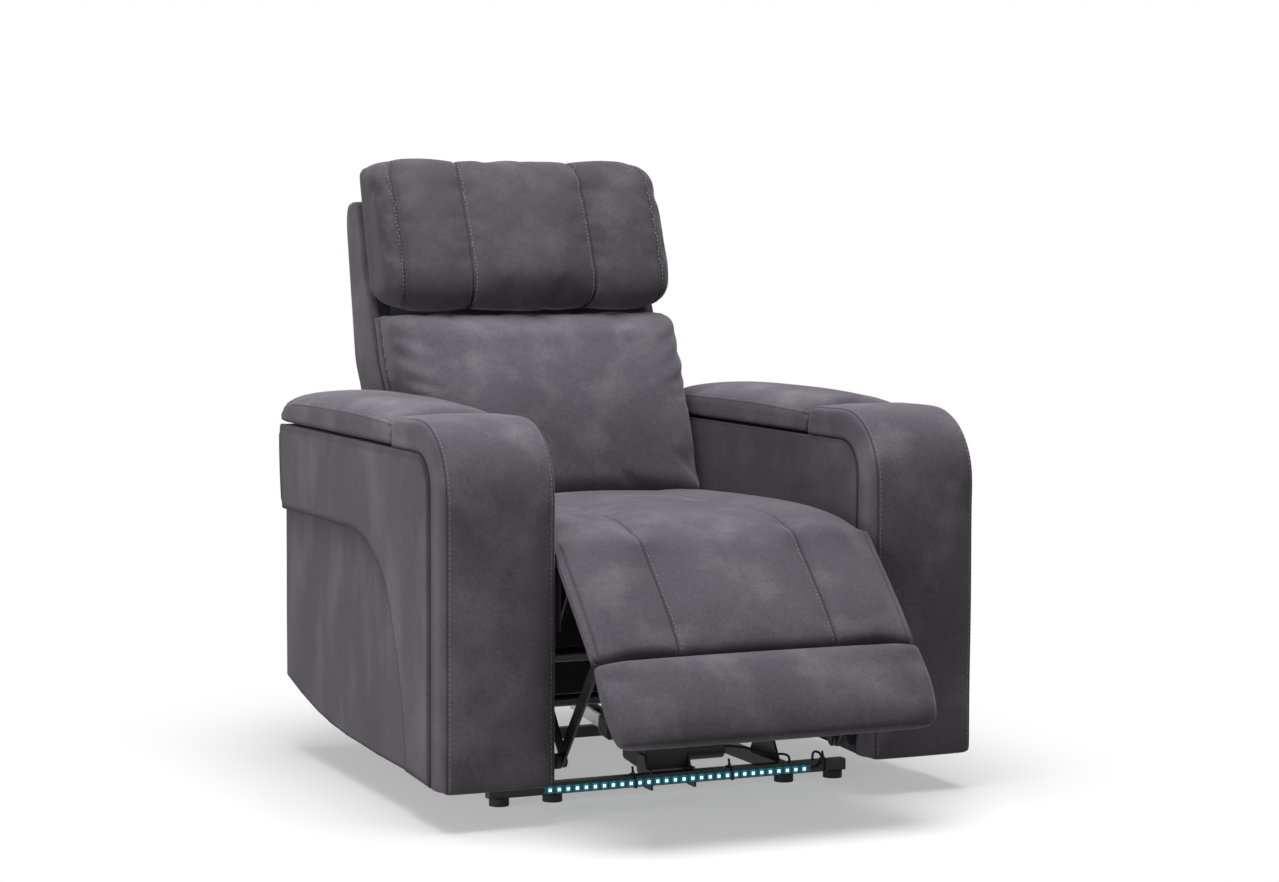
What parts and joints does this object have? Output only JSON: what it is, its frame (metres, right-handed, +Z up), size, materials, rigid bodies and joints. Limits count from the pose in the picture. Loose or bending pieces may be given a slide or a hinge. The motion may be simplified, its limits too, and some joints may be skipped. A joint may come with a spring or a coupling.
{
  "type": "cinema recliner seat",
  "caption": "Power recliner with storage arms, chaise footrest, reclining back, tilting headrest and a light strip under the seat.",
  "frame": {"origin": "centre of the footprint box at floor level, with the footrest half open and the back upright", "axes": "+X to the sitter's left, +Y to the back of the seat, +Z up; the sitter faces -Y"},
  "size_m": [0.974, 1.2512, 1.0927],
  "materials": {
    "black_steel": "semi-gloss black powder coat",
    "zinc_steel": "zinc plated",
    "spring_steel": "oiled black wire",
    "black_plastic": "matt black",
    "button_plastic": "satin dark grey",
    "rubber": "matt black rubber",
    "lead_rubber": "matt black cable sheath",
    "strip_sleeve": "dark silicone sleeve",
    "led_light": "lit cyan white",
    "rail_aluminium": "extruded, clear anodised",
    "plywood": "bare plywood",
    "upholstery": "matt faux suede"
  },
  "bodies": {
    "base": {"cross_tubes": "black_steel", "tube_end_caps": "black_plastic", "floor_feet": "rubber", "base_rails": "black_steel", "base_pivot_bolts": "zinc_steel", "led_strip": "strip_sleeve", "led_chips": "led_light", "cable_ties": "black_plastic", "led_lead": "lead_rubber", "actuator_clamp": "black_steel", "actuator_gearbox": "black_plastic", "actuator_motor": "black_plastic", "actuator_rail": "rail_aluminium", "actuator_screw": "zinc_steel"},
    "trolley": {"actuator_trolley": "black_plastic"},
    "front_swing": {"front_swing_frame": "black_steel"},
    "rear_swing": {"rear_swing_links": "black_steel"},
    "drive": {"drive_link": "black_steel"},
    "seat": {"side_plates": "black_steel", "seat_pivot_bolts": "zinc_steel", "seat_frame": "plywood", "seat_springs": "spring_steel", "seat_cushion": "upholstery", "arm_brackets": "black_steel", "arm_box_left": "plywood", "arm_box_right": "plywood", "arm_side_panel_left": "upholstery", "arm_side_panel_right": "upholstery", "arm_overlay_panel_left": "upholstery", "arm_overlay_panel_right": "upholstery", "arm_front_band_left": "upholstery", "arm_front_band_right": "upholstery", "arm_inner_panels": "upholstery", "arm_rear_panels": "upholstery", "lid_hinge_leaves": "zinc_steel", "control_bezel": "black_plastic"},
    "lid_left": {"lid_board_left": "plywood", "lid_pad_left": "upholstery", "lid_hinge_left": "zinc_steel"},
    "lid_right": {"lid_board_right": "plywood", "lid_pad_right": "upholstery", "lid_hinge_right": "zinc_steel"},
    "button_open": {"button_open": "button_plastic"},
    "button_close": {"button_close": "button_plastic"},
    "button_headrest_up": {"button_headrest_up": "button_plastic"},
    "button_headrest_down": {"button_headrest_down": "button_plastic"},
    "footrest_crank": {"footrest_torque_tube": "black_steel"},
    "footrest_link": {"footrest_links": "black_steel", "elbow_bumpers": "rubber"},
    "footrest": {"footrest_board": "plywood", "knee_pad": "upholstery", "calf_pad": "upholstery", "footrest_brackets": "black_steel"},
    "back": {"back_brackets": "black_steel", "back_frame": "plywood", "back_shell": "upholstery", "lumbar_cushion": "upholstery"},
    "headrest": {"headrest_arms": "black_steel", "headrest_board": "plywood", "headrest_cushion": "upholstery"}
  },
  "joints": [
    {"name": "seat_advance", "type": "hinge", "parent": "base", "child": "front_swing", "pos_m": [0, -0.10437, 0.088], "axis": [1, 0, 0], "range_deg": [0, 40]},
    {"name": "seat_level", "type": "hinge", "parent": "front_swing", "child": "seat", "pos_m": [0, -0.05991, 0.21016], "axis": [-1, 0, 0], "range_deg": [0, 40]},
    {"name": "rear_swing", "type": "hinge", "parent": "base", "child": "rear_swing", "pos_m": [0, 0.20863, 0.088], "axis": [1, 0, 0], "range_deg": [0, 40]},
    {"name": "trolley_travel", "type": "slide", "parent": "base", "child": "trolley", "axis": [0, 0.9934, 0.1149], "range_m": [-0.0462, 0]},
    {"name": "drive_link_swing", "type": "hinge", "parent": "front_swing", "child": "drive", "pos_m": [0, -0.08214, 0.14908], "axis": [1, 0, 0], "range_deg": [-44.4, 0]},
    {"name": "back_recline", "type": "hinge", "parent": "seat", "child": "back", "pos_m": [0, 0.28863, 0.345], "axis": [-1, 0, 0], "range_deg": [0, 36]},
    {"name": "headrest_tilt", "type": "hinge", "parent": "back", "child": "headrest", "pos_m": [0, 0.44862, 0.858], "axis": [1, 0, 0], "range_deg": [0, 40]},
    {"name": "footrest_lift", "type": "hinge", "parent": "seat", "child": "footrest", "pos_m": [0, -0.34037, 0.424], "axis": [-1, 0, 0], "range_deg": [-45, 45]},
    {"name": "footrest_crank_turn", "type": "hinge", "parent": "seat", "child": "footrest_crank", "pos_m": [0, -0.19837, 0.248], "axis": [-1, 0, 0], "range_deg": [-45, 45]},
    {"name": "footrest_link_turn", "type": "hinge", "parent": "footrest_crank", "child": "footrest_link", "pos_m": [0, -0.32238, 0.092], "axis": [-1, 0, 0], "range_deg": [-45, 45]},
    {"name": "lid_left_open", "type": "hinge", "parent": "seat", "child": "lid_left", "pos_m": [0.3895, 0.46613, 0.6045], "axis": [-1, 0, 0], "range_deg": [0, 75]},
    {"name": "lid_right_open", "type": "hinge", "parent": "seat", "child": "lid_right", "pos_m": [-0.3895, 0.46613, 0.6045], "axis": [-1, 0, 0], "range_deg": [0, 75]},
    {"name": "button_open_press", "type": "slide", "parent": "seat", "child": "button_open", "axis": [-1, 0, 0], "range_m": [0, 0.0015], "stiffness_N_per_m": 600, "springref_m": -0.001},
    {"name": "button_close_press", "type": "slide", "parent": "seat", "child": "button_close", "axis": [-1, 0, 0], "range_m": [0, 0.0015], "stiffness_N_per_m": 600, "springref_m": -0.001},
    {"name": "button_headrest_up_press", "type": "slide", "parent": "seat", "child": "button_headrest_up", "axis": [-1, 0, 0], "range_m": [0, 0.0015], "stiffness_N_per_m": 600, "springref_m": -0.001},
    {"name": "button_headrest_down_press", "type": "slide", "parent": "seat", "child": "button_headrest_down", "axis": [-1, 0, 0], "range_m": [0, 0.0015], "stiffness_N_per_m": 600, "springref_m": -0.001}
  ],
  "couplings": [
    {"joint": "seat_level", "follows": "seat_advance", "ratio": 1},
    {"joint": "rear_swing", "follows": "seat_advance", "ratio": 1},
    {"joint": "trolley_travel", "follows": "seat_advance", "m_per_rad": -0.0655},
    {"joint": "drive_link_swing", "follows": "seat_advance", "ratio": -1.105},
    {"joint": "back_recline", "follows": "seat_advance", "ratio": 0.9},
    {"joint": "footrest_crank_turn", "follows": "footrest_lift", "ratio": 1},
    {"joint": "footrest_link_turn", "follows": "footrest_lift", "ratio": -1}
  ]
}
